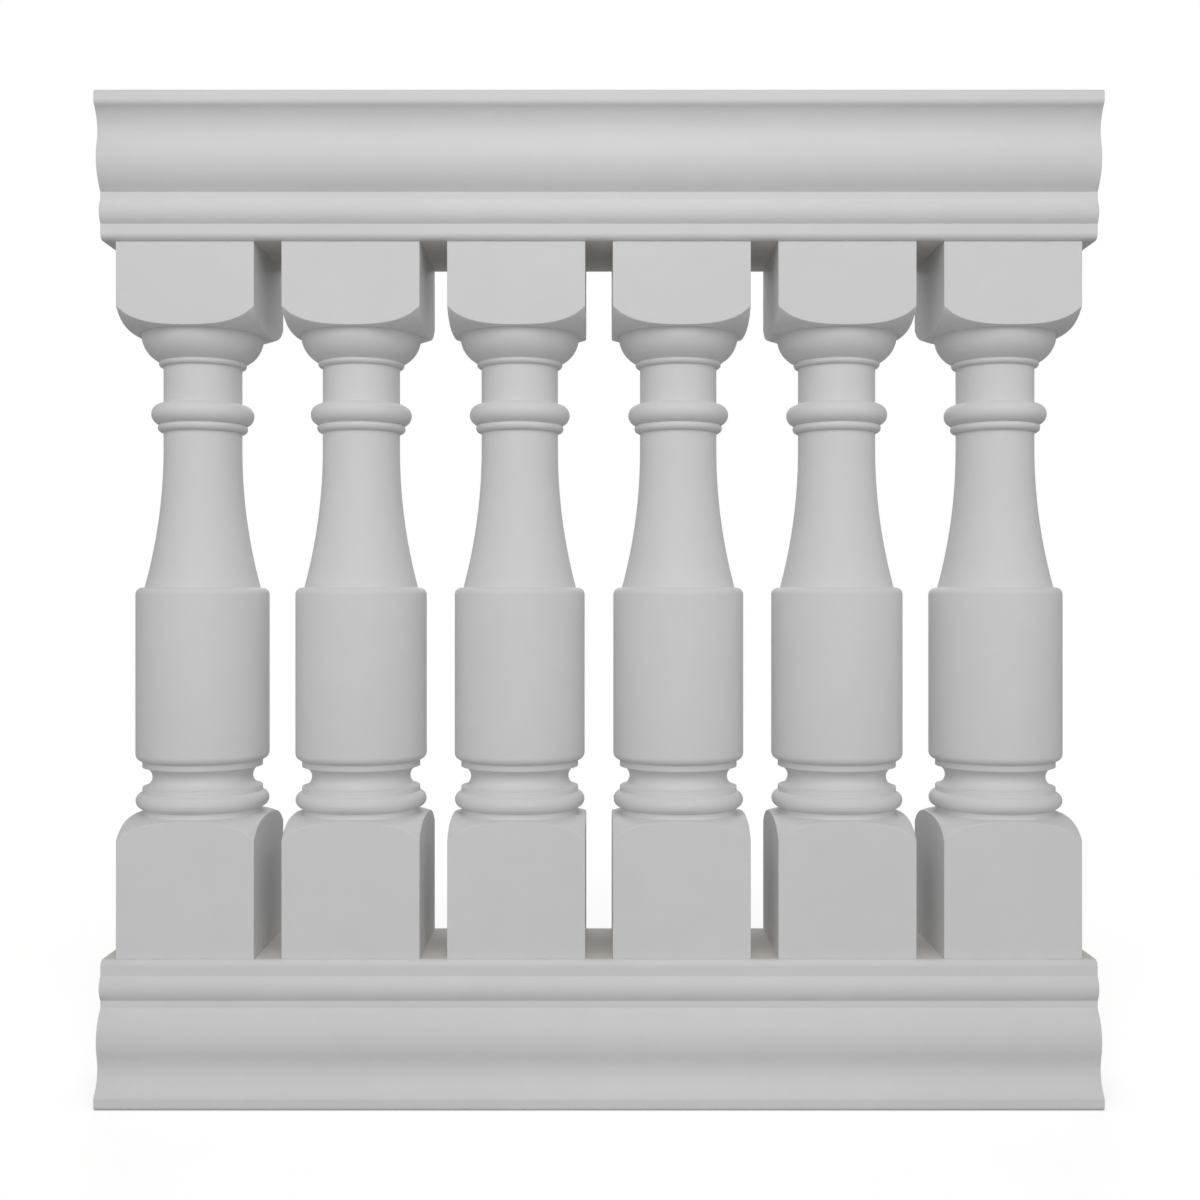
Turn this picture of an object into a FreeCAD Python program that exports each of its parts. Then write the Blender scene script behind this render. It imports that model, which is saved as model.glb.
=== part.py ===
import FreeCAD, Part
import math
import os
import Sketcher

# A deck railing section: two moulded rails, the lower one the upper one turned over, and six
# turned balusters between them, each threaded on a steel pipe that is let into both rails.
# Millimetres. X runs along the rails, Y from front to back, Z up from the lower rail's underside.

BALUSTERS = 6

SIZES = {
    # the rail's length and its cross-section, from the seat that meets the balusters outwards
    "rail_length": 914.4,
    "rail_height": 131.8,
    "seat_reach": 68.6,
    "seat_round": 6.0,
    "fascia_height": 8.6,
    "rail_torus_reach": 73.2,
    "rail_torus_height": 22.4,
    "rail_fillet_height": 6.8,
    "ovolo_radius": 40.3,
    "ovolo_rise": 29.0,
    "cove_radius": 30.0,
    "lip_reach": 87.5,
    "lip_undercut": 2.8,
    "lip_height": 14.5,
    "lip_under_round": 5.2,
    "lip_top_round": 3.5,
    # the baluster's square blocks and the turning's square-to-round shoulders
    "pitch": 152.4,
    "baluster_height": 660.4,
    "block_width": 127.0,
    "block_arris": 1.0,
    "base_height": 126.5,
    "cap_height": 77.2,
    "shoulder_rise": 19.0,
    "turning_margin": 1.0,
    # the turning from the lower block up to the drum
    "plinth_radius": 55.6,
    "plinth_height": 5.2,
    "torus_radius": 62.2,
    "torus_height": 15.4,
    "fillet_radius": 56.1,
    "low_fillet_height": 5.1,
    "scotia_radius": 46.8,
    "scotia_height": 18.8,
    "high_fillet_height": 6.1,
    "drum_radius": 62.4,
    "drum_foot_round": 6.9,
    "drum_side_height": 151.5,
    "drum_top_round": 6.6,
    "drum_ledge_radius": 56.3,
    # the flared shaft and the mouldings up to the upper block
    "flare_radius": 54.1,
    "shaft_radius": 36.7,
    "shaft_height": 15.9,
    "collar_seat_radius": 37.9,
    "collar_radius": 42.0,
    "collar_low_height": 4.4,
    "collar_high_height": 3.0,
    "astragal_foot_radius": 40.6,
    "astragal_radius": 48.0,
    "astragal_height": 19.6,
    "astragal_top_radius": 38.4,
    "neck_height": 35.3,
    "bead_seat_radius": 37.8,
    "bead_radius": 41.0,
    "bead_low_height": 3.3,
    "bead_high_height": 1.7,
    "echinus_foot_radius": 40.3,
    "echinus_radius": 57.0,
    "echinus_height": 25.5,
    # the pipe, and the room it has in its bore and in the rails' sockets
    "pipe_diameter": 38.1,
    "pipe_wall": 3.2,
    "pipe_reach": 44.4,
    "bore_clearance": 0.3,
    "socket_relief": 0.4,
}

# Heights of the turning that are fixed one by one: the flare takes what is left of the height.
TURNED_HEIGHTS = (
    "base_height",
    "plinth_height",
    "torus_height",
    "low_fillet_height",
    "scotia_height",
    "high_fillet_height",
    "drum_foot_round",
    "drum_side_height",
    "drum_top_round",
    "shaft_height",
    "collar_low_height",
    "collar_high_height",
    "astragal_height",
    "neck_height",
    "bead_low_height",
    "bead_high_height",
    "echinus_height",
    "cap_height",
)

WORKED = {
    "seat_flat": "Sizes.seat_reach - Sizes.seat_round",
    "half_rail_torus": "Sizes.rail_torus_height / 2",
    "lip_foot_reach": "Sizes.lip_reach - Sizes.lip_undercut",
    "lip_foot_level": "Sizes.rail_height - Sizes.lip_height",
    "lip_side": "Sizes.lip_height - Sizes.lip_under_round - Sizes.lip_top_round",
    "lip_flat": "Sizes.lip_reach - Sizes.lip_top_round",
    "turning_limit": "Sizes.block_width / sqrt(2) + Sizes.turning_margin",
    "turning_start": "Sizes.base_height - Sizes.shoulder_rise",
    "half_torus": "Sizes.torus_height / 2",
    "half_scotia": "Sizes.scotia_height / 2",
    "half_astragal": "Sizes.astragal_height / 2",
    "flare_height": "Sizes.baluster_height - " + " - ".join("Sizes." + name for name in TURNED_HEIGHTS),
    "block_half": "Sizes.block_width / 2",
    "bore_radius": "Sizes.pipe_diameter / 2 + Sizes.bore_clearance",
    "pipe_radius": "Sizes.pipe_diameter / 2",
    "pipe_hollow_radius": "Sizes.pipe_diameter / 2 - Sizes.pipe_wall",
    "pipe_length": "Sizes.baluster_height + 2 * Sizes.pipe_reach",
    "socket_depth": "Sizes.pipe_reach + Sizes.socket_relief",
    "row_length": "Sizes.pitch * %d" % (BALUSTERS - 1),
}

document = FreeCAD.newDocument("DeckRailingSection")


def add_sheet(label, cells, prefix):
    """A spreadsheet with one named cell to a row."""
    sheet = document.addObject("Spreadsheet::Sheet", label)
    for row, (name, content) in enumerate(cells.items(), start=1):
        sheet.set("A%d" % row, name)
        sheet.set("B%d" % row, prefix + str(content))
        sheet.setAlias("B%d" % row, name)
    document.recompute()
    return sheet


sizes_sheet = add_sheet("Sizes", SIZES, "")
worked_sheet = add_sheet("Worked", WORKED, "=")


def link(name):
    """The expression that reads a named cell."""
    if name in SIZES:
        return "Sizes." + name
    return "Worked." + name


def size(name):
    """The number in a named cell, for a sketch's first guess."""
    if name in SIZES:
        return float(sizes_sheet.get(name))
    return float(worked_sheet.get(name))


def point(across, up):
    return FreeCAD.Vector(across, up, 0)


def origin_feature(body, role):
    """One of the body's own origin planes or axes."""
    for feature in body.Origin.OriginFeatures:
        if feature.Role == role:
            return feature
    raise ValueError(role)


def add_body(label):
    body = document.addObject("PartDesign::Body", label)
    body.Label = label
    return body


def add_sketch(body, plane_role, name):
    sketch = body.newObject("Sketcher::SketchObject", name)
    sketch.AttachmentSupport = [(origin_feature(body, plane_role), "")]
    sketch.MapMode = "FlatFace"
    return sketch


def bind(sketch, kind, *places, name):
    """Add a dimension to the sketch and tie it to a named cell."""
    index = sketch.addConstraint(Sketcher.Constraint(kind, *places, size(name)))
    sketch.setExpression("Constraints[%d]" % index, link(name))


def add_circle(sketch, radius, centre_offset=None):
    """A circle about the sketch's origin, or set off to the left of it by half a named length."""
    start = point(0, 0)
    circle = sketch.addGeometry(Part.Circle(start, FreeCAD.Vector(0, 0, 1), size(radius)), False)
    bind(sketch, "Radius", circle, name=radius)
    if centre_offset is None:
        sketch.addConstraint(Sketcher.Constraint("Coincident", circle, 3, -1, 1))
        return circle
    sketch.addConstraint(Sketcher.Constraint("PointOnObject", circle, 3, -1))
    index = sketch.addConstraint(Sketcher.Constraint("DistanceX", circle, 3, -1, 1, size(centre_offset) / 2))
    sketch.setExpression("Constraints[%d]" % index, link(centre_offset) + " / 2")
    return circle


class Outline:
    """A chain of lines and arcs in a sketch whose corners are all held by named sizes."""

    def __init__(self, sketch):
        self.sketch = sketch
        self.first = None
        self.last = None
        self.here = point(0, 0)

    def constrain(self, kind, *places):
        self.sketch.addConstraint(Sketcher.Constraint(kind, *places))

    def add(self, curve, end):
        """Add a curve that runs from the last corner to this end and join it on."""
        index = self.sketch.addGeometry(curve, False)
        forwards = self.sketch.getPoint(index, 1).distanceToPoint(self.here) < 1e-6
        start_corner = (index, 1 if forwards else 2)
        end_corner = (index, 2 if forwards else 1)
        if self.last is not None:
            self.constrain("Coincident", *self.last, *start_corner)
        if self.first is None:
            self.first = start_corner
        self.last = end_corner
        self.here = end
        return index, start_corner, end_corner

    def begin(self, across, up):
        """Say where the first corner is; its dimensions are added with the first curve."""
        self.here = point(size(across), size(up))
        self.begin_names = (across, up)

    def hold_first(self):
        across, up = self.begin_names
        bind(self.sketch, "DistanceX", -1, 1, *self.first, name=across)
        bind(self.sketch, "DistanceY", -1, 1, *self.first, name=up)

    def upright(self, rise):
        end = self.here + point(0, size(rise))
        index, start_corner, end_corner = self.add(Part.LineSegment(self.here, end), end)
        self.constrain("Vertical", index)
        bind(self.sketch, "DistanceY", *start_corner, *end_corner, name=rise)

    def level(self, across):
        end = point(size(across), self.here.y)
        index, _, end_corner = self.add(Part.LineSegment(self.here, end), end)
        self.constrain("Horizontal", index)
        bind(self.sketch, "DistanceX", -1, 1, *end_corner, name=across)

    def arc(self, across, rise, square_at):
        """An arc to a named reach and rise that is upright at its start or end, or flat there."""
        start = self.here
        end = point(size(across), start.y + size(rise))
        upright, anchor = square_at
        square = start if anchor == "start" else end
        other = end if anchor == "start" else start
        chord = other - square
        if upright:
            centre = square + point(chord.Length ** 2 / (2 * chord.x), 0)
        else:
            centre = square + point(0, chord.Length ** 2 / (2 * chord.y))
        index, start_corner, end_corner = self.add(self.curve_about(centre, start, end), end)
        bind(self.sketch, "DistanceX", -1, 1, *end_corner, name=across)
        bind(self.sketch, "DistanceY", *start_corner, *end_corner, name=rise)
        held = start_corner if anchor == "start" else end_corner
        self.constrain("Horizontal" if upright else "Vertical", index, 3, *held)

    @staticmethod
    def curve_about(centre, start, end):
        """The shorter arc about a centre between two points."""
        middle = (start - centre) + (end - centre)
        middle.normalize()
        return Part.Arc(start, centre + middle * (start - centre).Length, end)

    def close(self):
        """Join the last corner to the first with a line."""
        start = self.here
        end = self.sketch.getPoint(*self.first)
        index, _, end_corner = self.add(Part.LineSegment(start, end), end)
        self.constrain("Coincident", *end_corner, *self.first)
        return index


UPRIGHT_AT_START = (True, "start")
UPRIGHT_AT_END = (True, "end")
FLAT_AT_START = (False, "start")
FLAT_AT_END = (False, "end")


def swell_between(outline, low_height, widest, high_height, back_to):
    """A round moulding: out (or in) to its widest and back."""
    outline.arc(widest, low_height, UPRIGHT_AT_END)
    outline.arc(back_to, high_height, UPRIGHT_AT_START)


def ogee(outline):
    """The rail's swell and hollow: two arcs that flow into each other under the lip."""
    sketch = outline.sketch
    start = outline.here
    swell = size("ovolo_radius")
    hollow = size("cove_radius")
    rise = size("ovolo_rise")
    swell_centre = start + point(-math.sqrt(swell ** 2 - rise ** 2), rise)
    foot = point(size("lip_foot_reach"), size("lip_foot_level"))
    span = foot - swell_centre
    along = ((swell + hollow) ** 2 - hollow ** 2 + span.Length ** 2) / (2 * span.Length)
    aside = math.sqrt((swell + hollow) ** 2 - along ** 2)
    unit = point(span.x / span.Length, span.y / span.Length)
    hollow_centre = swell_centre + unit * along + point(unit.y, -unit.x) * aside
    turn = swell_centre + (hollow_centre - swell_centre) * (swell / (swell + hollow))
    swell_arc, swell_start, swell_end = outline.add(outline.curve_about(swell_centre, start, turn), turn)
    bind(sketch, "Radius", swell_arc, name="ovolo_radius")
    bind(sketch, "DistanceY", *swell_start, swell_arc, 3, name="ovolo_rise")
    outline.last = None
    hollow_arc, hollow_start, hollow_end = outline.add(outline.curve_about(hollow_centre, turn, foot), foot)
    outline.constrain("Tangent", *swell_end, *hollow_start)
    bind(sketch, "Radius", hollow_arc, name="cove_radius")
    bind(sketch, "DistanceX", -1, 1, *hollow_end, name="lip_foot_reach")
    bind(sketch, "DistanceY", -1, 1, *hollow_end, name="lip_foot_level")


def add_pad(body, sketch, name, length, both_ways=False):
    pad = body.newObject("PartDesign::Pad", name)
    pad.Profile = sketch
    pad.setExpression("Length", link(length))
    pad.Midplane = both_ways
    sketch.Visibility = False
    document.recompute()
    return pad


def add_rail(label):
    """One rail, its seat on the body's XY plane and its lip upwards."""
    body = add_body(label)
    outline = Outline(add_sketch(body, "YZ_Plane", label + "_section"))
    seat = outline.sketch
    end = point(size("seat_flat"), 0)
    index, start_corner, end_corner = outline.add(Part.LineSegment(point(0, 0), end), end)
    outline.constrain("Horizontal", index)
    outline.constrain("Coincident", *start_corner, -1, 1)
    bind(seat, "DistanceX", -1, 1, *end_corner, name="seat_flat")
    outline.arc("seat_reach", "seat_round", UPRIGHT_AT_END)
    outline.upright("fascia_height")
    swell_between(outline, "half_rail_torus", "rail_torus_reach", "half_rail_torus", "seat_reach")
    outline.upright("rail_fillet_height")
    ogee(outline)
    outline.arc("lip_reach", "lip_under_round", UPRIGHT_AT_END)
    outline.upright("lip_side")
    outline.arc("lip_flat", "lip_top_round", UPRIGHT_AT_START)
    end = point(0, outline.here.y)
    index, _, _ = outline.add(Part.LineSegment(outline.here, end), end)
    outline.constrain("Horizontal", index)
    index = outline.close()
    outline.constrain("Vertical", index)
    half = add_pad(body, outline.sketch, label + "_half", "rail_length", both_ways=True)
    whole = body.newObject("PartDesign::Mirrored", label + "_whole")
    whole.Originals = [half]
    whole.MirrorPlane = (origin_feature(body, "XZ_Plane"), [""])
    body.Tip = whole
    document.recompute()
    before = whole.Shape.Volume
    mouth = add_sketch(body, "XY_Plane", label + "_socket_mouth")
    add_circle(mouth, "bore_radius", centre_offset="row_length")
    socket = body.newObject("PartDesign::Pocket", label + "_socket")
    socket.Profile = mouth
    socket.setExpression("Length", link("socket_depth"))
    socket.Reversed = True
    document.recompute()
    if socket.Shape.Volume >= before:
        raise ValueError("the socket cuts nothing")
    row = body.newObject("PartDesign::LinearPattern", label + "_sockets")
    row.Originals = [socket]
    row.Direction = (origin_feature(body, "X_Axis"), [""])
    row.setExpression("Length", link("row_length"))
    row.Occurrences = BALUSTERS
    body.Tip = row
    document.recompute()
    return body


def turning_outline(body, label):
    """What the lathe takes off the square billet, from the lower shoulder to the upper one."""
    outline = Outline(add_sketch(body, "XZ_Plane", label + "_turning"))
    outline.begin("turning_limit", "turning_start")
    outline.arc("plinth_radius", "shoulder_rise", FLAT_AT_END)
    outline.hold_first()
    outline.upright("plinth_height")
    swell_between(outline, "half_torus", "torus_radius", "half_torus", "fillet_radius")
    outline.upright("low_fillet_height")
    swell_between(outline, "half_scotia", "scotia_radius", "half_scotia", "fillet_radius")
    outline.upright("high_fillet_height")
    outline.arc("drum_radius", "drum_foot_round", UPRIGHT_AT_END)
    outline.upright("drum_side_height")
    outline.arc("drum_ledge_radius", "drum_top_round", UPRIGHT_AT_START)
    outline.level("flare_radius")
    outline.arc("shaft_radius", "flare_height", UPRIGHT_AT_END)
    outline.upright("shaft_height")
    outline.level("collar_seat_radius")
    swell_between(outline, "collar_low_height", "collar_radius", "collar_high_height", "astragal_foot_radius")
    swell_between(outline, "half_astragal", "astragal_radius", "half_astragal", "astragal_top_radius")
    outline.level("shaft_radius")
    outline.upright("neck_height")
    outline.level("bead_seat_radius")
    swell_between(outline, "bead_low_height", "bead_radius", "bead_high_height", "echinus_foot_radius")
    outline.arc("echinus_radius", "echinus_height", UPRIGHT_AT_END)
    outline.arc("turning_limit", "shoulder_rise", FLAT_AT_START)
    outline.close()
    return outline.sketch


def add_baluster(label):
    """A square billet, turned between its two blocks and bored through for the pipe."""
    body = add_body(label)
    square = add_sketch(body, "XY_Plane", label + "_square")
    half = size("block_half")
    corners = [point(-half, -half), point(half, -half), point(half, half), point(-half, half)]
    for start, end in zip(corners, corners[1:] + corners[:1]):
        square.addGeometry(Part.LineSegment(start, end), False)
    for side in range(4):
        square.addConstraint(Sketcher.Constraint("Coincident", side, 2, (side + 1) % 4, 1))
        square.addConstraint(Sketcher.Constraint("Vertical" if side % 2 else "Horizontal", side))
    square.addConstraint(Sketcher.Constraint("Symmetric", 0, 1, 1, 2, -1, 1))
    bind(square, "DistanceX", 0, 1, 0, 2, name="block_width")
    bind(square, "DistanceY", 1, 1, 1, 2, name="block_width")
    billet = add_pad(body, square, label + "_billet", "baluster_height")
    arrises = body.newObject("PartDesign::Fillet", label + "_arrises")
    edges = [
        "Edge%d" % number
        for number, edge in enumerate(billet.Shape.Edges, start=1)
        if abs(edge.tangentAt(edge.FirstParameter).z) > 0.99
    ]
    arrises.Base = (billet, edges)
    arrises.setExpression("Radius", link("block_arris"))
    document.recompute()
    turning = body.newObject("PartDesign::Groove", label + "_turned")
    turning.Profile = turning_outline(body, label)
    turning.ReferenceAxis = (turning.Profile[0], ["V_Axis"])
    turning.Angle = 360
    document.recompute()
    if turning.Shape.Volume >= billet.Shape.Volume:
        raise ValueError("the turning cuts nothing")
    mouth = add_sketch(body, "XY_Plane", label + "_bore_mouth")
    add_circle(mouth, "bore_radius")
    bore = body.newObject("PartDesign::Pocket", label + "_bore")
    bore.Profile = mouth
    bore.setExpression("Length", link("baluster_height"))
    bore.Reversed = True
    document.recompute()
    if bore.Shape.Volume >= turning.Shape.Volume:
        raise ValueError("the bore cuts nothing")
    return body


def add_pipe(label):
    body = add_body(label)
    ring = add_sketch(body, "XY_Plane", label + "_ring")
    add_circle(ring, "pipe_radius")
    add_circle(ring, "pipe_hollow_radius")
    add_pad(body, ring, label + "_tube", "pipe_length")
    return body


def put(body, across=None, up=None, turned_over=False):
    """Set a body in the section, with its place tied to the named sizes."""
    if turned_over:
        body.Placement = FreeCAD.Placement(FreeCAD.Vector(), FreeCAD.Rotation(FreeCAD.Vector(1, 0, 0), 180))
    if across is not None:
        body.setExpression("Placement.Base.x", across)
    if up is not None:
        body.setExpression("Placement.Base.z", up)


bodies = []

bottom_rail = add_rail("bottom_rail")
put(bottom_rail, up="Sizes.rail_height", turned_over=True)
bodies.append(bottom_rail)

top_rail = add_rail("top_rail")
put(top_rail, up="Sizes.rail_height + Sizes.baluster_height")
bodies.append(top_rail)

for place in range(BALUSTERS):
    number = place + 1
    along = "Sizes.pitch * %g" % (place - (BALUSTERS - 1) / 2)
    baluster = add_baluster("baluster_%d" % number)
    put(baluster, across=along, up="Sizes.rail_height")
    bodies.append(baluster)
    pipe = add_pipe("pipe_%d" % number)
    put(pipe, across=along, up="Sizes.rail_height - Worked.socket_depth")
    bodies.append(pipe)

document.recompute()

for item in document.Objects:
    if "Invalid" in item.State or "Error" in item.State:
        raise ValueError("%s is %s" % (item.Label, item.State))

os.makedirs("parts", exist_ok=True)
for body in bodies:
    shape = body.Shape
    if shape.isNull() or not shape.isValid():
        raise ValueError("%s has no valid shape" % body.Label)
    shape.exportStep("parts/%s.step" % body.Label)
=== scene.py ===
"""The looks of a deck railing section: two moulded rails, six turned balusters and the pipes inside them,
on a plain studio stage. Sizes are in metres, in the CAD model's frame: X along the rails, Y from the front
to the back, Z up."""

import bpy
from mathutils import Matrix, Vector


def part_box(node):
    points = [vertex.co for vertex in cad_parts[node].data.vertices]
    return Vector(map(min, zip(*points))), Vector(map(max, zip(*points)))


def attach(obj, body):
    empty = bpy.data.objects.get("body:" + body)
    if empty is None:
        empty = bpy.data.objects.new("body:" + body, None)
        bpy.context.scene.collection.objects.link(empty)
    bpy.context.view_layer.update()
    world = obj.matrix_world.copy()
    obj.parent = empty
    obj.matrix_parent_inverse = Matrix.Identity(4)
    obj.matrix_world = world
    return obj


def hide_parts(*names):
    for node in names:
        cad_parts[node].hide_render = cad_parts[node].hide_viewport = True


bl_info = {
    "name": "Deck Railing Section",
    "version": (1, 0, 0),
    "blender": (4, 5, 0),
    "location": "View3D > Sidebar > Railing",
    "description": "Moulded rails, turned balusters and steel pipes of a deck railing, on a studio stage",
    "category": "Object",
}

import math

import bmesh
import bpy
from bpy.props import FloatProperty, FloatVectorProperty, IntProperty, PointerProperty
from mathutils import Matrix, Vector

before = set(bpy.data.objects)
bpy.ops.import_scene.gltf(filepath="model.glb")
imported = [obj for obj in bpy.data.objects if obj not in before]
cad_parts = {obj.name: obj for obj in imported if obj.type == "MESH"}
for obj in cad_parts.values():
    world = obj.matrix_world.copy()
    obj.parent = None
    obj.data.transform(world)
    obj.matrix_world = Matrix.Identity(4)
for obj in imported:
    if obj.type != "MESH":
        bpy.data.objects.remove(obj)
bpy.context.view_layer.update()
RAILS = ("top_rail", "bottom_rail")
BALUSTERS = sorted(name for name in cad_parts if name.startswith("baluster_"))
PIPES = sorted(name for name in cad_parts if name.startswith("pipe_"))

# Points closer than NEAR are one point, and edges that turn by more than SHARP are creases.
NEAR = 1e-6
SHARP = math.radians(30.0)
# A face whose normal has this share along one axis looks squarely along it.
SQUARELY = 0.99999
# The longest steps on an arc, by its turn and by its length, and the fewest steps.
ARC_TURN = math.radians(9.0)
ARC_STEP = 0.007
ARC_LEAST = 3
# Faces on a shoulder's arc from the block's side to the turning, round a socket and round the floor.
SHOULDER_STEPS = 7
SOCKET_SIDES = 48
FLOOR_SIDES = 128

ORIGIN = (0.0, 0.0, 0.0)
WHITE = (1.0, 1.0, 1.0, 1.0)
BLACK = (0.0, 0.0, 0.0, 1.0)
# Halfway between the two colours of a finish.
HALFWAY = 0.5

# How the zinc's crystals and streaks are drawn out along the pipe.
CRYSTAL_STRETCH = (1.0, 1.0, 0.6)
STREAK_STRETCH = (1.0, 1.0, 0.04)
# Where a pore's floor ends and where its rim ends, in shares of the pore size.
PORE_RIM = (0.06, 0.2)

# Where the floor starts to turn white, and where it is white, from the middle of the section.
FLOOR_WHITENS = (0.7, 2.4)
# The floor's dust: its size, how much it tells, and the tone of its dark specks.
DUST_SIZE, DUST_SHARE, DUST_TONE = 0.02, 0.04, 0.96
# The two softboxes: width and height, and how far from the section and how high up they stand.
SOFTBOX_WIDTH, SOFTBOX_HEIGHT = 2.6, 1.6
SOFTBOX_AWAY, SOFTBOX_UP = 2.4, 2.0
# The camera's sensor, in millimetres.
SENSOR_WIDTH = 36.0


# ---------------------------------------------------------------- sizes and colours


def length(name, description, millimetres):
    """A length that can be changed, given here in millimetres and kept in metres."""
    return FloatProperty(
        name=name, description=description, default=millimetres / 1000, min=0.0, unit="LENGTH", precision=4
    )


def share(name, description, amount):
    """A number from 0 to 1."""
    return FloatProperty(
        name=name, description=description, default=amount, min=0.0, max=1.0, subtype="FACTOR"
    )


def glow(name, description, amount):
    """An amount of light."""
    return FloatProperty(name=name, description=description, default=amount, min=0.0)


def power(name, description, watts):
    """The power of a lamp."""
    return FloatProperty(name=name, description=description, default=watts, min=0.0, unit="POWER")


def colour(name, description, red, green, blue):
    """A colour in linear light."""
    return FloatVectorProperty(
        name=name,
        description=description,
        default=(red, green, blue),
        size=3,
        min=0.0,
        max=1.0,
        subtype="COLOR",
    )


class RailSizes(bpy.types.PropertyGroup):
    """The rails' section, from the seat that the balusters meet to the lip. The rest comes from the frame."""

    seat_reach: length("Seat reach", "From the middle of the rail to the fascia beside the seat", 68.6)
    seat_round: length("Seat round", "Round between the seat and the fascia", 6.0)
    fascia_height: length("Fascia height", "Upright face between the seat's round and the torus", 8.6)
    torus_reach: length("Torus reach", "From the middle of the rail to the torus at its widest", 73.2)
    torus_height: length("Torus height", "Height of the round moulding above the fascia", 22.4)
    fillet_height: length("Fillet height", "Upright face between the torus and the ogee", 6.8)
    ovolo_radius: length("Ovolo radius", "Radius of the ogee's swell", 40.3)
    ovolo_rise: length("Ovolo rise", "From the fillet up to the level of the swell's centre", 29.0)
    cove_radius: length("Cove radius", "Radius of the ogee's hollow", 30.0)
    lip_undercut: length("Lip undercut", "How far the hollow's end stands back from the lip's face", 2.8)
    lip_height: length("Lip height", "From the hollow's end to the outer face of the rail", 14.5)
    lip_under_round: length("Lip under round", "Height of the round below the lip's face", 5.2)
    lip_top_round: length("Lip top round", "Round between the lip's face and the rail's outer face", 3.5)
    end_arris: length("End arris", "Softened edge round the rails' cut ends", 0.8)
    socket_relief: length("Socket relief", "Room past the pipe's end in its socket", 0.4)


class BalusterSizes(bpy.types.PropertyGroup):
    """The balusters' turning, from the lower block to the upper one. The rest comes from the frame."""

    steps: IntProperty(
        name="Steps", description="Faces round the turning, a multiple of eight", default=96, min=16
    )
    arris: length("Arris", "Softened edge of the square blocks", 0.4)
    fillet_arris: length("Fillet arris", "Softened edge of the fillets beside the scotia", 0.4)
    base_height: length("Base height", "Height of the lower block, shoulder included", 126.5)
    cap_height: length("Cap height", "Height of the upper block, shoulder included", 77.2)
    shoulder_rise: length("Shoulder rise", "Height of a shoulder at the billet's corners", 19.0)
    turning_margin: length("Turning margin", "How far a shoulder's arc runs past the billet's corners", 1.0)
    plinth_radius: length("Plinth radius", "Radius of the plinth on the lower shoulder", 55.6)
    plinth_height: length("Plinth height", "Height of the plinth", 5.2)
    torus_radius: length("Torus radius", "Radius of the base's torus at its widest", 62.2)
    torus_height: length("Torus height", "Height of the base's torus", 15.4)
    fillet_radius: length("Fillet radius", "Radius of the fillets above and below the scotia", 56.1)
    low_fillet_height: length("Low fillet height", "Height of the fillet below the scotia", 5.1)
    scotia_radius: length("Scotia radius", "Radius of the scotia at its narrowest", 46.8)
    scotia_height: length("Scotia height", "Height of the scotia", 18.8)
    high_fillet_height: length("High fillet height", "Height of the fillet above the scotia", 6.1)
    drum_radius: length("Drum radius", "Radius of the drum", 62.4)
    drum_foot_round: length("Drum foot round", "Height of the round under the drum", 6.9)
    drum_side_height: length("Drum side height", "Height of the drum's straight side", 151.5)
    drum_top_round: length("Drum top round", "Height of the round over the drum", 6.6)
    drum_ledge_radius: length("Drum ledge radius", "Outer radius of the ledge on the drum", 56.3)
    flare_radius: length("Flare radius", "Radius of the flared shaft at its foot", 54.1)
    shaft_radius: length("Shaft radius", "Radius of the shaft at its top, and of the neck", 36.7)
    shaft_height: length("Shaft height", "Straight run at the top of the shaft", 15.9)
    collar_seat_radius: length("Collar seat radius", "Radius where the collar starts", 37.9)
    collar_radius: length("Collar radius", "Radius of the collar at its widest", 42.0)
    collar_low_height: length("Collar low height", "Height of the collar below its widest", 4.4)
    collar_high_height: length("Collar high height", "Height of the collar above its widest", 3.0)
    astragal_foot_radius: length("Astragal foot radius", "Radius where it starts on the collar", 40.6)
    astragal_radius: length("Astragal radius", "Radius of the astragal at its widest", 48.0)
    astragal_height: length("Astragal height", "Height of the astragal", 19.6)
    astragal_top_radius: length("Astragal top radius", "Radius where it ends under the neck", 38.4)
    neck_height: length("Neck height", "Height of the neck", 35.3)
    bead_seat_radius: length("Bead seat radius", "Radius where the bead starts", 37.8)
    bead_radius: length("Bead radius", "Radius of the bead at its widest", 41.0)
    bead_low_height: length("Bead low height", "Height of the bead below its widest", 3.3)
    bead_high_height: length("Bead high height", "Height of the bead above its widest", 1.7)
    echinus_foot_radius: length("Echinus foot radius", "Radius where it starts on the bead", 40.3)
    echinus_radius: length("Echinus radius", "Radius of the echinus at its top", 57.0)
    echinus_height: length("Echinus height", "Height of the echinus", 25.5)
    bore_clearance: length("Bore clearance", "Room round the pipe in its bore", 0.3)


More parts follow.
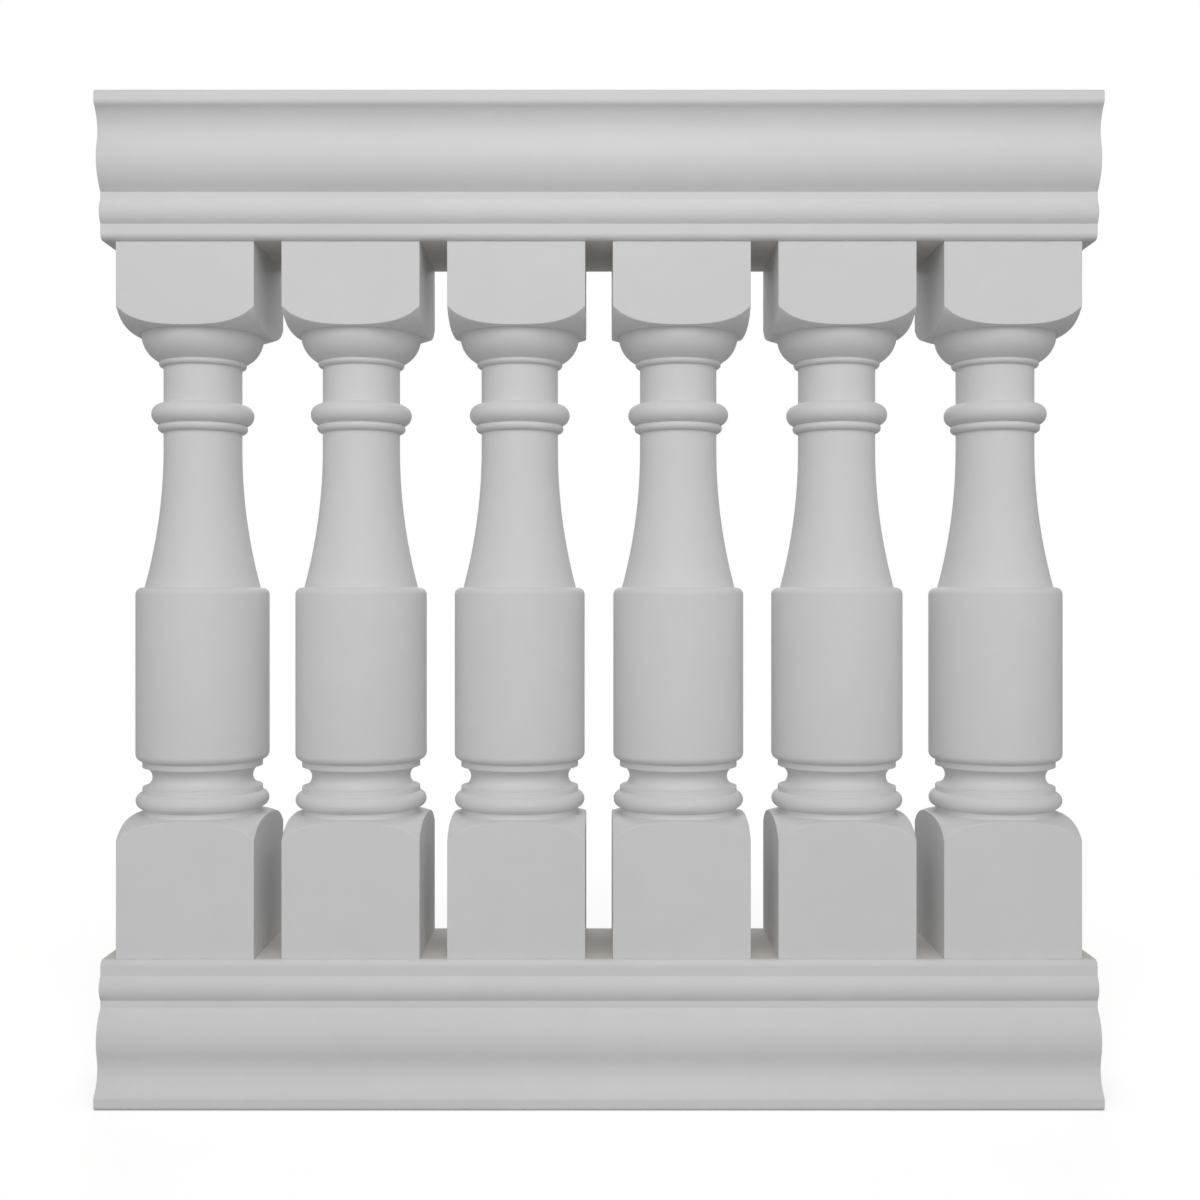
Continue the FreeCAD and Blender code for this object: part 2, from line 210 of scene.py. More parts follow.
class FinishSettings(bpy.types.PropertyGroup):
    """Colours and grain of the primed mouldings, of the rails' bare seats and of the steel."""

    primer_light: colour("Primer, thick", "Primer where the sprayed coat is thickest", 0.80, 0.80, 0.80)
    primer_dark: colour("Primer, thin", "Primer where the sprayed coat is thinnest", 0.74, 0.74, 0.74)
    primer_roughness: share("Primer roughness", "How matt the primer is", 0.58)
    cloud_size: length("Cloud size", "Size of the slow changes in the sprayed coat", 170.0)
    cloud_strength: share("Cloud strength", "How much the slow changes tell", 0.9)
    mottle_size: length("Mottle size", "Size of the small patches in the coat and in the bare urethane", 26.0)
    mottle_strength: share("Mottle strength", "How much the small patches tell in the coat", 0.6)
    grain_size: length("Grain size", "Size of the overspray's grain", 0.6)
    grain_strength: share("Grain strength", "How much the grain tells in the coat", 0.6)
    peel_size: length("Peel size", "Size of the coat's pebbled skin", 1.8)
    peel_depth: length("Peel depth", "Depth of the coat's pebbled skin", 0.11)
    bare_light: colour("Bare, pale", "Bare urethane of the rails' seats at its palest", 0.76, 0.73, 0.69)
    bare_dark: colour("Bare, deep", "Bare urethane of the rails' seats at its deepest", 0.68, 0.65, 0.61)
    bare_roughness: share("Bare roughness", "How matt the bare urethane is", 0.72)
    pore_size: length("Pore size", "From pore to pore in the bare urethane", 2.4)
    pore_depth: length("Pore depth", "Depth of the pores in the bare urethane", 0.1)
    zinc_light: colour("Zinc, bright", "Galvanised steel on its bright crystals", 0.62, 0.62, 0.61)
    zinc_dark: colour("Zinc, dull", "Galvanised steel on its dull crystals", 0.36, 0.36, 0.355)
    zinc_roughness: share("Zinc roughness", "How matt the zinc is", 0.38)
    zinc_relief: length("Zinc relief", "Height of the zinc crystals and streaks", 0.03)
    spangle_size: length("Spangle size", "Size of the zinc crystals", 7.0)
    streak_size: length("Streak size", "Width of the streaks along the pipe", 2.5)


class StageSettings(bpy.types.PropertyGroup):
    """The camera, the lights and the floor."""

    camera_distance: length("Camera distance", "From the camera to the balusters' axes", 1417.5)
    camera_height: length("Camera height", "Height of the level camera above the floor", 462.0)
    focal_length: FloatProperty(
        name="Focal length", description="Lens on a 36 mm sensor", default=44.166, min=1.0, unit="CAMERA"
    )
    frame_shift: FloatProperty(
        name="Frame shift", description="Sideways shift of the lens, in picture widths", default=0.00085
    )
    front_glow: glow("Front glow", "Light from the wall in front", 0.576)
    side_glow: glow("Side glow", "Light from the walls on the left and the right", 0.351)
    back_glow: glow("Back glow", "Light from the wall behind", 0.35)
    key_power: power("Key power", "Large soft light over the camera", 30.4)
    back_power: power("Back power", "Large soft light high up behind", 21.5)
    floor_colour: colour("Floor colour", "Pale floor near the object", 0.86, 0.86, 0.855)
    floor_glow: share("Floor glow", "How far the floor near the object is lit from below", 0.5)
    floor_bounce: share("Floor bounce", "Share of the light that the floor throws back up", 0.5)
    floor_radius: length("Floor radius", "Radius of the round floor", 6000.0)


# ---------------------------------------------------------------- materials


class Wire:
    """An output of a node tree. Sums on wires add Math nodes, and node() adds a node of any other kind."""

    def __init__(self, tree, socket=None):
        self.tree = tree
        self.socket = socket

    def node(self, kind, settings=(), sockets=(), output=0):
        """Adds a node, its settings first and then its sockets' values or wires, and gives one output."""
        made = self.tree.nodes.new(kind)
        for name, value in dict(settings).items():
            setattr(made, name, value)
        for name, value in dict(sockets).items():
            if isinstance(value, Wire):
                self.tree.links.new(value.socket, made.inputs[name])
            else:
                made.inputs[name].default_value = value
        return Wire(self.tree, made.outputs[output] if len(made.outputs) else None)

    def sums(self, operation, first, second):
        """A Math node on two values or wires."""
        return self.node("ShaderNodeMath", {"operation": operation}, {0: first, 1: second})

    def __add__(self, other):
        return self.sums("ADD", self, other)

    def __radd__(self, other):
        return self.sums("ADD", other, self)

    def __sub__(self, other):
        return self.sums("SUBTRACT", self, other)

    def __rsub__(self, other):
        return self.sums("SUBTRACT", other, self)

    def __mul__(self, other):
        return self.sums("MULTIPLY", self, other)

    def __rmul__(self, other):
        return self.sums("MULTIPLY", other, self)

    def blend(self, first, second):
        """Goes from the first colour to the second as this wire goes from 0 to 1."""
        # inputs 6 and 7 and output 2 of a Mix node are its colours
        return self.node("ShaderNodeMix", {"data_type": "RGBA"}, {0: self, 6: first, 7: second}, 2)

    def ease(self, low, high):
        """0 below low, 1 above high, and a smooth change between them."""
        smooth = {"interpolation_type": "SMOOTHSTEP"}
        return self.node("ShaderNodeMapRange", smooth, {0: self, 1: low, 2: high})

    def noise(self, size, detail=2.0, roughness=0.5):
        """Even noise about 0 over this position, with patches of about a given size."""
        sockets = {"Vector": self, "Scale": 1 / size, "Detail": detail, "Roughness": roughness}
        return self.node("ShaderNodeTexNoise", {}, sockets) - 0.5

    def cells(self, size, output):
        """An output of a pattern of cells over this position, about a given size from middle to middle."""
        return self.node("ShaderNodeTexVoronoi", {}, {"Vector": self, "Scale": 1 / size}, output)

    def stretched(self, scale):
        """This position, scaled along each axis."""
        return self.node("ShaderNodeMapping", {}, {"Vector": self, "Scale": scale})

    def relief(self, depth):
        """A normal with this wire as its height."""
        return self.node("ShaderNodeBump", {}, {"Strength": 1.0, "Distance": depth, "Height": self})


def opaque(rgb):
    """A colour with its alpha."""
    return (*rgb, 1.0)


def new_material(name):
    """An empty node material, the wire that stands for its tree, and its Object coordinates."""
    material = bpy.data.materials.new(name)
    material.use_nodes = True
    material.node_tree.nodes.clear()
    tree = Wire(material.node_tree)
    return material, tree, tree.node("ShaderNodeTexCoord", {}, {}, "Object")


def finish_material(tree, sockets):
    """Puts the surface shader of a finish and the output behind it."""
    surface = tree.node("ShaderNodeBsdfPrincipled", {}, sockets)
    tree.node("ShaderNodeOutputMaterial", {}, {"Surface": surface})


def for_camera(tree, other, seen):
    """One shader for what the camera sees, and another for the light."""
    camera = tree.node("ShaderNodeLightPath", {}, {}, "Is Camera Ray")
    return tree.node("ShaderNodeMixShader", {}, {0: camera, 1: other, 2: seen})


def primer_material(finish):
    """Sprayed factory primer on moulded urethane: matt, a little cloudy, with a fine pebbled skin."""
    peel_height, grain_height = 0.85, 0.15
    mottle_gloss, grain_gloss = 0.10, 0.06
    material, tree, where = new_material("primed_urethane_finish")
    cloud = where.noise(finish.cloud_size)
    mottle = where.noise(finish.mottle_size, detail=4.0)
    grain = where.noise(finish.grain_size)
    peel = where.noise(finish.peel_size, detail=3.0, roughness=0.45)
    coat = HALFWAY + finish.cloud_strength * cloud
    coat = coat + finish.mottle_strength * mottle + finish.grain_strength * grain
    skin = peel_height * peel + grain_height * grain
    finish_material(
        tree,
        {
            "Base Color": coat.blend(opaque(finish.primer_dark), opaque(finish.primer_light)),
            "Roughness": finish.primer_roughness + mottle_gloss * mottle + grain_gloss * grain,
            "Specular IOR Level": 0.35,
            "Normal": skin.relief(finish.peel_depth),
        },
    )
    return material


def bare_material(finish):
    """Bare moulded urethane, where no primer goes: warm, a little blotchy, with fine sunk pores in painted
    shade.
    """
    middle, grain_tone = 0.6, 0.4
    grain_height, blotch_gloss = 0.1, 0.12
    material, tree, where = new_material("bare_urethane_finish")
    blotch = where.noise(finish.mottle_size, detail=3.0)
    grain = where.noise(finish.grain_size)
    # The pore mask sinks the pores in the relief and also darkens their colour: that darker colour is painted
    # shade.
    pore = 1 - where.cells(finish.pore_size, "Distance").ease(*PORE_RIM)
    tone = middle + blotch + grain_tone * grain - pore
    skin = grain_height * grain - pore
    finish_material(
        tree,
        {
            "Base Color": tone.blend(opaque(finish.bare_dark), opaque(finish.bare_light)),
            "Roughness": finish.bare_roughness + blotch_gloss * blotch,
            "Specular IOR Level": 0.3,
            "Normal": skin.relief(finish.pore_depth),
        },
    )
    return material


def steel_material(finish):
    """Hot-dipped steel: dull zinc crystals, drawn out and streaked along the pipe."""
    middle, crystal_tone, streak_tone = 0.25, 0.5, 0.9
    crystal_gloss, streak_gloss = 0.14, 0.15
    material, tree, where = new_material("galvanised_steel_finish")
    spangle = where.stretched(CRYSTAL_STRETCH).cells(finish.spangle_size, "Color")
    crystal = tree.node("ShaderNodeSeparateColor", {}, {"Color": spangle})
    streak = where.stretched(STREAK_STRETCH).noise(finish.streak_size, detail=4.0, roughness=0.6)
    tone = middle + crystal_tone * crystal + streak_tone * streak
    skin = crystal + streak
    finish_material(
        tree,
        {
            "Base Color": tone.blend(opaque(finish.zinc_dark), opaque(finish.zinc_light)),
            "Metallic": 1.0,
            "Roughness": finish.zinc_roughness + crystal_gloss * crystal + streak_gloss * streak,
            "Normal": skin.relief(finish.zinc_relief),
        },
    )
    return material


FINISHES = {
    "primed_urethane": primer_material,
    "bare_urethane": bare_material,
    "galvanised_steel": steel_material,
}


def finish_of(name):
    """The material of a finish, made once."""
    return bpy.data.materials.get(name + "_finish") or FINISHES[name](bpy.context.scene.railing_finish)


def floor_material(stage):
    """A pale floor that turns white away from the object, and that throws part of the light back up."""
    material, tree, where = new_material("pale_floor")
    distance = tree.node("ShaderNodeVectorMath", {"operation": "LENGTH"}, {0: where}, "Value")
    away = distance.ease(*FLOOR_WHITENS)
    dust = where.noise(DUST_SIZE, detail=3.0) * DUST_SHARE
    dusty = opaque([DUST_TONE * part for part in stage.floor_colour])
    pale = (HALFWAY + dust).blend(dusty, opaque(stage.floor_colour))
    seen = tree.node(
        "ShaderNodeBsdfPrincipled",
        {},
        {
            "Base Color": away.blend(pale, BLACK),
            "Roughness": 0.8,
            "Specular IOR Level": 0.0,
            "Emission Color": away.blend(opaque([stage.floor_glow] * 3), WHITE),
            "Emission Strength": 1.0,
        },
    )
    plain = tree.node("ShaderNodeBsdfDiffuse", {}, {"Color": opaque([stage.floor_bounce] * 3)})
    tree.node("ShaderNodeOutputMaterial", {}, {"Surface": for_camera(tree, plain, seen)})
    return material


# ---------------------------------------------------------------- shaping


# How an arc is square to its neighbours: upright or flat, and at its start or at its end.
UPRIGHT_AT_START = (True, True)
UPRIGHT_AT_END = (True, False)
FLAT_AT_START = (False, True)
FLAT_AT_END = (False, False)


def verts_in(geometry):
    """The vertices among what an operator gives back."""
    return [item for item in geometry if isinstance(item, bmesh.types.BMVert)]


def edges_in(geometry):
    """The edges among what an operator gives back."""
    return [item for item in geometry if isinstance(item, bmesh.types.BMEdge)]


class Contour:
    """A section in the XZ plane, grown from one vertex: straight runs are extruded and arcs are spun."""

    def __init__(self, across, up):
        self.mesh = bmesh.new()
        self.tip = self.mesh.verts.new((across, 0.0, up))

    @property
    def here(self):
        """The reach and the height of the section's end."""
        return self.tip.co.xz

    def run(self, across, up):
        """A straight run to a point."""
        self.tip = bmesh.ops.extrude_vert_indiv(self.mesh, verts=[self.tip])["verts"][0]
        self.tip.co = (across, 0.0, up)

    def upright(self, rise):
        """A straight run upwards."""
        self.run(self.here.x, self.here.y + rise)

    def level(self, across):
        """A straight run inwards or outwards to a reach."""
        self.run(across, self.here.y)

    def swing(self, centre, end, steps=0):
        """An arc about a centre to a point, the shorter way round."""
        first, last = self.here - centre, end - centre
        turn = math.atan2(first.cross(last), first.dot(last))
        by_turn, by_length = abs(turn) / ARC_TURN, abs(turn) * first.length / ARC_STEP
        steps = steps or max(ARC_LEAST, math.ceil(by_turn), math.ceil(by_length))
        spun = bmesh.ops.spin(
            self.mesh,
            geom=[self.tip],
            cent=(centre.x, 0.0, centre.y),
            axis=(0.0, -1.0, 0.0),
            angle=turn,
            steps=steps,
        )
        self.tip = verts_in(spun["geom_last"])[0]
        self.tip.co = (end.x, 0.0, end.y)

    def arc(self, across, rise, square_at, steps=0):
        """An arc to a reach and a rise that is upright or flat at its start or at its end."""
        upright, at_start = square_at
        end = Vector((across, self.here.y + rise))
        square, other = (self.here, end) if at_start else (end, self.here)
        chord = other - square
        if upright:
            centre = square + Vector((chord.length_squared / (2 * chord.x), 0.0))
        else:
            centre = square + Vector((0.0, chord.length_squared / (2 * chord.y)))
        self.swing(centre, end, steps)

    def swell(self, low, widest, high, back_to):
        """A round moulding: out or in to its widest over one height, and back over another."""
        self.arc(widest, low, UPRIGHT_AT_END)
        self.arc(back_to, high, UPRIGHT_AT_START)

    def ogee(self, swell, rise, hollow, foot):
        """A swell that flows into a hollow and ends at a point."""
        swell_centre = self.here + Vector((-math.sqrt(swell**2 - rise**2), rise))
        span = foot - swell_centre
        along = ((swell + hollow) ** 2 - hollow**2 + span.length_squared) / (2 * span.length)
        aside = math.sqrt((swell + hollow) ** 2 - along**2)
        unit = span.normalized()
        hollow_centre = swell_centre + unit * along + Vector((unit.y, -unit.x)) * aside
        self.swing(swell_centre, swell_centre.lerp(hollow_centre, swell / (swell + hollow)))
        self.swing(hollow_centre, foot)


def turn_mesh(mesh, angle, axis):
    """Turns a whole mesh about an axis through the origin."""
    bmesh.ops.rotate(mesh, verts=mesh.verts, cent=ORIGIN, matrix=Matrix.Rotation(angle, 3, axis))


def soften(mesh, edges, width):
    """Rounds sharp edges a little, as primer does."""
    bmesh.ops.bevel(
        mesh,
        geom=edges,
        offset=width,
        offset_type="OFFSET",
        affect="EDGES",
        segments=2,
        profile=0.5,
        clamp_overlap=False,
        material=-1,
    )


def close_up(mesh):
    """Merges doubles and points the faces outwards."""
    bmesh.ops.remove_doubles(mesh, verts=mesh.verts, dist=NEAR)
    bmesh.ops.recalc_face_normals(mesh, faces=mesh.faces)
    mesh.normal_update()


def shade(mesh):
    """Flat shading on faces that look squarely along an axis, smooth shading on the rest, sharp creases."""
    for face in mesh.faces:
        face.smooth = max(abs(part) for part in face.normal) < SQUARELY
    for edge in mesh.edges:
        edge.smooth = edge.calc_face_angle(0.0) < SHARP


def add_to_scene(name, data):
    """A new object in the scene."""
    made = bpy.data.objects.new(name, data)
    bpy.context.scene.collection.objects.link(made)
    return made


def add_piece(name, mesh, node, slot, *more):
    """Makes a finished mesh, in one finish or more, the piece that stands for a CAD node, and frees it."""
    if any(not edge.is_manifold for edge in mesh.edges):
        raise RuntimeError(name + " isn't closed")
    shade(mesh)
    data = bpy.data.meshes.new(name)
    mesh.to_mesh(data)
    mesh.free()
    for finish in (slot, *more):
        data.materials.append(finish_of(finish))
    piece = add_to_scene(name, data)
    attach(piece, "root")
    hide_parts(node)


# ---------------------------------------------------------------- rails


def rail_mesh(sizes, low, high, bore):
    """A rail, its seat on z = 0 and its lip upwards: half a section, mirrored, drawn along X and socketed."""
    lip_reach, rail_height = high.y, high.z - low.z
    section = Contour(0.0, 0.0)
    section.level(sizes.seat_reach - sizes.seat_round)
    section.arc(sizes.seat_reach, sizes.seat_round, UPRIGHT_AT_END)
    section.upright(sizes.fascia_height)
    section.swell(sizes.torus_height / 2, sizes.torus_reach, sizes.torus_height / 2, sizes.seat_reach)
    section.upright(sizes.fillet_height)
    lip_foot = Vector((lip_reach - sizes.lip_undercut, rail_height - sizes.lip_height))
    section.ogee(sizes.ovolo_radius, sizes.ovolo_rise, sizes.cove_radius, lip_foot)
    section.arc(lip_reach, sizes.lip_under_round, UPRIGHT_AT_END)
    section.upright(sizes.lip_height - sizes.lip_under_round - sizes.lip_top_round)
    section.arc(lip_reach - sizes.lip_top_round, sizes.lip_top_round, UPRIGHT_AT_START)
    section.level(0.0)
    mesh = section.mesh
    half = mesh.verts[:] + mesh.edges[:]
    bmesh.ops.mirror(mesh, geom=half, matrix=Matrix.Identity(4), merge_dist=NEAR, axis="X")
    end = bmesh.ops.contextual_create(mesh, geom=mesh.edges[:])["faces"]
    turn_mesh(mesh, math.pi / 2, "Z")
    bmesh.ops.translate(mesh, verts=mesh.verts, vec=(low.x, 0.0, 0.0))
    drawn = bmesh.ops.extrude_face_region(mesh, geom=end)["geom"]
    bmesh.ops.translate(mesh, verts=verts_in(drawn), vec=(high.x - low.x, 0.0, 0.0))
    close_up(mesh)
    cut = [
        edge
        for edge in mesh.edges
        if abs(edge.verts[0].co.x - edge.verts[1].co.x) < NEAR and edge.calc_face_angle(0.0) > SHARP
    ]
    soften(mesh, cut, sizes.end_arris)
    add_sockets(mesh, bore, sizes.socket_relief)
    close_up(mesh)
    for face in seat_faces(mesh):
        face.material_index = 1
    return mesh


def seat_faces(mesh):
    """The faces of a rail that lie on z = 0."""
    return [face for face in mesh.faces if all(abs(vert.co.z) < NEAR for vert in face.verts)]


def add_sockets(mesh, bore, relief):
    """Sinks a blind socket for each pipe into the seat of a rail."""
    bmesh.ops.delete(mesh, geom=seat_faces(mesh), context="FACES")
    brim = [edge for edge in mesh.edges if edge.is_boundary]
    for pipe in PIPES:
        low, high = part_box(pipe)
        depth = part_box("bottom_rail")[1].z - low.z + relief
        place = Matrix.Translation(((low.x + high.x) / 2, 0.0, 0.0))
        mouth = bmesh.ops.create_circle(mesh, radius=bore, segments=SOCKET_SIDES, matrix=place)["verts"]
        rim = list({edge for vert in mouth for edge in vert.link_edges})
        brim += rim
        sunk = bmesh.ops.extrude_edge_only(mesh, edges=rim)["geom"]
        bmesh.ops.translate(mesh, verts=verts_in(sunk), vec=(0.0, 0.0, depth))
        bmesh.ops.contextual_create(mesh, geom=edges_in(sunk))
    bmesh.ops.triangle_fill(mesh, edges=brim, use_beauty=True, normal=(0.0, 0.0, -1.0))


class RAILING_OT_rails(bpy.types.Operator):
    """Model the moulded top and bottom rails"""

    bl_idname = "railing.rails"
    bl_label = "Moulded Rails"

    def execute(self, context):
        sizes = context.scene.railing_rails
        bore = bore_radius(context.scene.railing_balusters)
        for node in RAILS:
            low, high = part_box(node)
            mesh = rail_mesh(sizes, low, high, bore)
            seat_level = low.z
            if node == "bottom_rail":
                turn_mesh(mesh, math.pi, "X")
                seat_level = high.z
            bmesh.ops.translate(mesh, verts=mesh.verts, vec=(0.0, 0.0, seat_level))
            mesh.normal_update()
            add_piece("moulded_" + node, mesh, node, "primed_urethane", "bare_urethane")
        return {"FINISHED"}


# ---------------------------------------------------------------- balusters


def bore_radius(sizes):
    """The radius of the balusters' bores and of the rails' sockets."""
    low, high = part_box(PIPES[0])
    return (high.x - low.x) / 2 + sizes.bore_clearance


class Shoulder:
    """The arc on which a square block turns into the round."""

    def __init__(self, sizes, inner, half):
        across = half * math.sqrt(2) + sizes.turning_margin - inner
        self.inner = inner
        self.radius = (across**2 + sizes.shoulder_rise**2) / (2 * sizes.shoulder_rise)

    def drop(self, reach):
        """How far the arc has left its flat end at a given reach."""
        return self.radius - math.sqrt(self.radius**2 - max(reach - self.inner, 0.0) ** 2)


def square_off(mesh, half, shoulder, level, end, way):
    """Draws a round block out to a square, its shoulder on the arc. Way is -1 below and 1 above."""
    for vert in mesh.verts:
        reach = vert.co.xy.length
        if reach < shoulder.inner + NEAR or (vert.co.z - level) * way < -NEAR:
            continue
        flat = vert.co.xy / reach
        side = half / max(abs(flat.x), abs(flat.y))
        drawn = shoulder.inner + (reach - shoulder.inner) * (side - shoulder.inner) / (half - shoulder.inner)
        vert.co.xy = flat * drawn
        if abs(vert.co.z - end) > NEAR:
            vert.co.z = level + way * shoulder.drop(drawn)


def baluster_mesh(sizes, height, half, bore):
    """A baluster about the Z axis on z = 0: a closed section is spun, and its two blocks are squared off."""
    base_level, cap_level = sizes.base_height, height - sizes.cap_height
    base = Shoulder(sizes, sizes.plinth_radius, half)
    cap = Shoulder(sizes, sizes.echinus_radius, half)
    section = Contour(bore, 0.0)
    section.level(half)
    section.upright(base_level - base.drop(half))
    section.arc(sizes.plinth_radius, base.drop(half), FLAT_AT_END, SHOULDER_STEPS)
    section.upright(sizes.plinth_height)
    section.swell(sizes.torus_height / 2, sizes.torus_radius, sizes.torus_height / 2, sizes.fillet_radius)
    section.upright(sizes.low_fillet_height)
    section.swell(sizes.scotia_height / 2, sizes.scotia_radius, sizes.scotia_height / 2, sizes.fillet_radius)
    section.upright(sizes.high_fillet_height)
    section.arc(sizes.drum_radius, sizes.drum_foot_round, UPRIGHT_AT_END)
    section.upright(sizes.drum_side_height)
    section.arc(sizes.drum_ledge_radius, sizes.drum_top_round, UPRIGHT_AT_START)
    section.level(sizes.flare_radius)
    above = (
        sizes.shaft_height
        + sizes.collar_low_height
        + sizes.collar_high_height
        + sizes.astragal_height
        + sizes.neck_height
        + sizes.bead_low_height
        + sizes.bead_high_height
        + sizes.echinus_height
    )
    section.arc(sizes.shaft_radius, cap_level - above - section.here.y, UPRIGHT_AT_END)
    section.upright(sizes.shaft_height)
    section.level(sizes.collar_seat_radius)
    section.swell(
        sizes.collar_low_height, sizes.collar_radius, sizes.collar_high_height, sizes.astragal_foot_radius
    )
    half_astragal = sizes.astragal_height / 2
    section.swell(half_astragal, sizes.astragal_radius, half_astragal, sizes.astragal_top_radius)
    section.level(sizes.shaft_radius)
    section.upright(sizes.neck_height)
    section.level(sizes.bead_seat_radius)
    section.swell(
        sizes.bead_low_height, sizes.bead_radius, sizes.bead_high_height, sizes.echinus_foot_radius
    )
    section.arc(sizes.echinus_radius, sizes.echinus_height, UPRIGHT_AT_END)
    section.arc(half, cap.drop(half), FLAT_AT_START, SHOULDER_STEPS)
    section.run(half, height)
    section.level(bore)
    section.run(bore, 0.0)
    mesh = section.mesh
    bmesh.ops.remove_doubles(mesh, verts=mesh.verts, dist=NEAR)
    bmesh.ops.spin(
        mesh,
        geom=mesh.verts[:] + mesh.edges[:],
        cent=ORIGIN,
        axis=(0.0, 0.0, 1.0),
        angle=2 * math.pi,
        steps=sizes.steps,
        use_merge=True,
    )
    square_off(mesh, half, base, base_level, 0.0, -1)
    square_off(mesh, half, cap, cap_level, height, 1)
    close_up(mesh)
    sharp = [edge for edge in mesh.edges if edge.calc_face_angle_signed(0.0) > SHARP]
    blocks = [
        edge
        for edge in sharp
        if all(max(abs(vert.co.x), abs(vert.co.y)) > half - NEAR for vert in edge.verts)
    ]
    fillets = [
        edge
        for edge in sharp
        if all(abs(vert.co.xy.length - sizes.fillet_radius) < NEAR for vert in edge.verts)
    ]
    soften(mesh, blocks, sizes.arris)
    soften(mesh, [edge for edge in fillets if edge.is_valid], sizes.fillet_arris)
    close_up(mesh)
    return mesh


class RAILING_OT_balusters(bpy.types.Operator):
    """Model the turned balusters, one mesh set out along the rails"""

    bl_idname = "railing.balusters"
    bl_label = "Turned Balusters"

    def execute(self, context):
        sizes = context.scene.railing_balusters
        low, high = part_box(BALUSTERS[0])
        pattern = baluster_mesh(sizes, high.z - low.z, (high.x - low.x) / 2, bore_radius(sizes))
        for node in BALUSTERS:
            low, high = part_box(node)
            place = ((low.x + high.x) / 2, (low.y + high.y) / 2, low.z)
            mesh = pattern.copy()
            bmesh.ops.translate(mesh, verts=mesh.verts, vec=place)
            add_piece("turned_" + node, mesh, node, "primed_urethane")
        pattern.free()
        return {"FINISHED"}


# ---------------------------------------------------------------- pipes


class RAILING_OT_pipes(bpy.types.Operator):
    """Give the steel pipes inside the balusters their galvanised finish"""

    bl_idname = "railing.pipes"
    bl_label = "Steel Pipes"

    def execute(self, context):
        for node in PIPES:
            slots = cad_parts[node].data.materials
            slots.clear()
            slots.append(finish_of("galvanised_steel"))
        return {"FINISHED"}


# ---------------------------------------------------------------- stage


def add_floor(stage):
    """A round floor."""
    disc = bmesh.new()
    bmesh.ops.create_circle(disc, cap_ends=True, radius=stage.floor_radius, segments=FLOOR_SIDES)
    floor_mesh = bpy.data.meshes.new("floor")
    disc.to_mesh(floor_mesh)
    disc.free()
    floor_mesh.materials.append(floor_material(stage))
    add_to_scene("floor", floor_mesh)


def add_surroundings(scene, stage):
    """White for the camera, and for the light four walls that glow at eye level and fade up and down."""
    world = bpy.data.worlds.new("studio_surroundings")
    world.use_nodes = True
    world.node_tree.nodes.clear()
    tree = Wire(world.node_tree)
    way = tree.node("ShaderNodeTexCoord", {}, {}, "Generated")
    even = tree.node("ShaderNodeVectorMath", {"operation": "ABSOLUTE"}, {0: way}, "Vector")
    ends, tilt = (stage.front_glow + stage.back_glow) / 2, (stage.back_glow - stage.front_glow) / 2
    glows = (stage.side_glow, ends, 0.0)
    walls = tree.node("ShaderNodeVectorMath", {"operation": "DOT_PRODUCT"}, {0: even, 1: glows}, "Value")
    behind = tree.node("ShaderNodeSeparateXYZ", {}, {"Vector": way}, "Y")
    light = tree.node("ShaderNodeBackground", {}, {"Color": WHITE, "Strength": walls + tilt * behind})
    white = tree.node("ShaderNodeBackground", {}, {"Color": WHITE, "Strength": 1.0})
    tree.node("ShaderNodeOutputWorld", {}, {"Surface": for_camera(tree, light, white)})
    scene.world = world


def add_softbox(name, watts, along, target):
    """A large soft light at a distance along Y, turned to a target, that the camera doesn't see."""
    lamp = bpy.data.lights.new(name, "AREA")
    lamp.shape = "RECTANGLE"
    lamp.size, lamp.size_y = SOFTBOX_WIDTH, SOFTBOX_HEIGHT
    lamp.energy = watts
    place = Vector((0.0, along, SOFTBOX_UP))
    box = add_to_scene(name, lamp)
    box.location = place
    box.rotation_euler = (target - place).to_track_quat("-Z", "Y").to_euler()
    box.visible_camera = False


def add_camera(scene, stage):
    """A level camera in front of the middle of the section."""
    lens = bpy.data.cameras.new("camera")
    lens.sensor_width = SENSOR_WIDTH
    lens.lens = stage.focal_length
    lens.shift_x = stage.frame_shift
    camera = add_to_scene("camera", lens)
    camera.location = (0.0, -stage.camera_distance, stage.camera_height)
    camera.rotation_euler = (math.pi / 2, 0.0, 0.0)
    scene.camera = camera


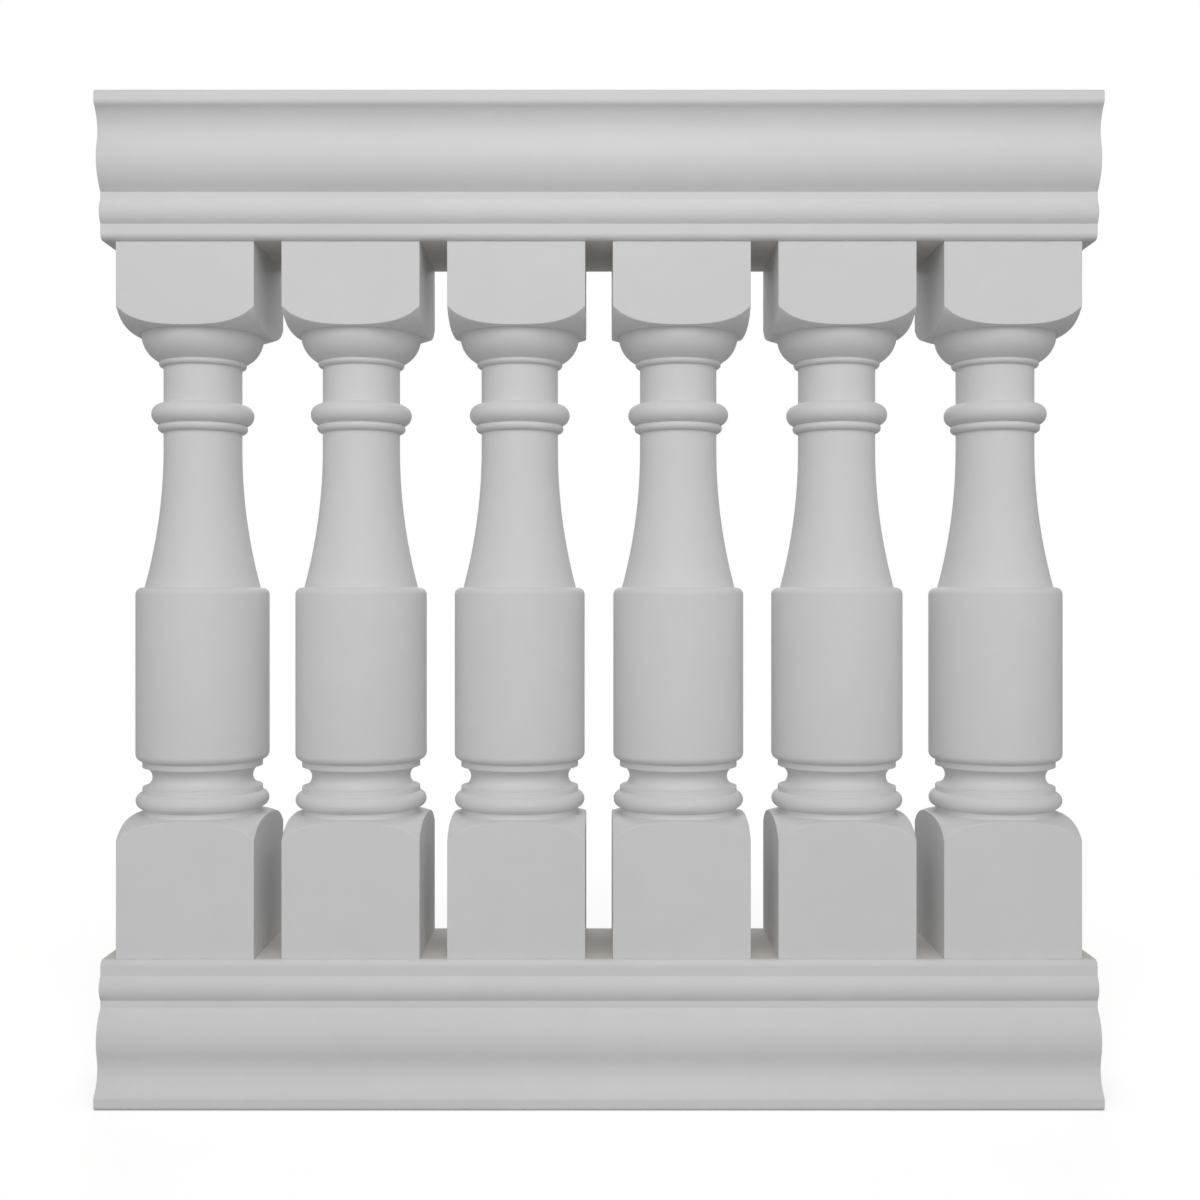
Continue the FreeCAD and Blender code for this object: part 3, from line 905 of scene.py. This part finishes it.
class RAILING_OT_stage(bpy.types.Operator):
    """Set the floor, the soft studio light and the camera"""

    bl_idname = "railing.stage"
    bl_label = "Studio Stage"

    def execute(self, context):
        scene, stage = context.scene, context.scene.railing_stage
        scene.view_settings.view_transform = "Standard"
        add_floor(stage)
        add_surroundings(scene, stage)
        middle = Vector((0.0, 0.0, stage.camera_height))
        add_softbox("key_light", stage.key_power, -SOFTBOX_AWAY, middle)
        add_softbox("back_light", stage.back_power, SOFTBOX_AWAY, middle)
        add_camera(scene, stage)
        return {"FINISHED"}


# ---------------------------------------------------------------- panel and registration


class RAILING_PT_panel(bpy.types.Panel):
    """The railing section's pieces and the settings that they are made from"""

    bl_idname = "RAILING_PT_panel"
    bl_label = "Deck Railing Section"
    bl_space_type = "VIEW_3D"
    bl_region_type = "UI"
    bl_category = "Railing"

    def draw(self, context):
        for operator, group in STEPS:
            box = self.layout.box()
            box.operator(operator.bl_idname)
            settings = getattr(context.scene, group)
            for name in settings.bl_rna.properties.keys():
                if name not in {"rna_type", "name"}:
                    box.prop(settings, name)


GROUPS = {
    "railing_rails": RailSizes,
    "railing_balusters": BalusterSizes,
    "railing_finish": FinishSettings,
    "railing_stage": StageSettings,
}
STEPS = (
    (RAILING_OT_rails, "railing_rails"),
    (RAILING_OT_balusters, "railing_balusters"),
    (RAILING_OT_pipes, "railing_finish"),
    (RAILING_OT_stage, "railing_stage"),
)


def register():
    """Adds the settings, the operators and the panel to Blender."""
    for group in GROUPS.values():
        bpy.utils.register_class(group)
    for name, group in GROUPS.items():
        setattr(bpy.types.Scene, name, PointerProperty(type=group))
    for operator, _ in STEPS:
        bpy.utils.register_class(operator)
    bpy.utils.register_class(RAILING_PT_panel)


def unregister():
    """Takes out what register adds, in the opposite order."""
    bpy.utils.unregister_class(RAILING_PT_panel)
    for operator, _ in reversed(STEPS):
        bpy.utils.unregister_class(operator)
    for name in GROUPS:
        delattr(bpy.types.Scene, name)
    for group in reversed(GROUPS.values()):
        bpy.utils.unregister_class(group)


def main():
    """Makes the pieces and the stage."""
    register()
    bpy.ops.railing.rails()
    bpy.ops.railing.balusters()
    bpy.ops.railing.pipes()
    bpy.ops.railing.stage()


if __name__ == "__main__":
    main()
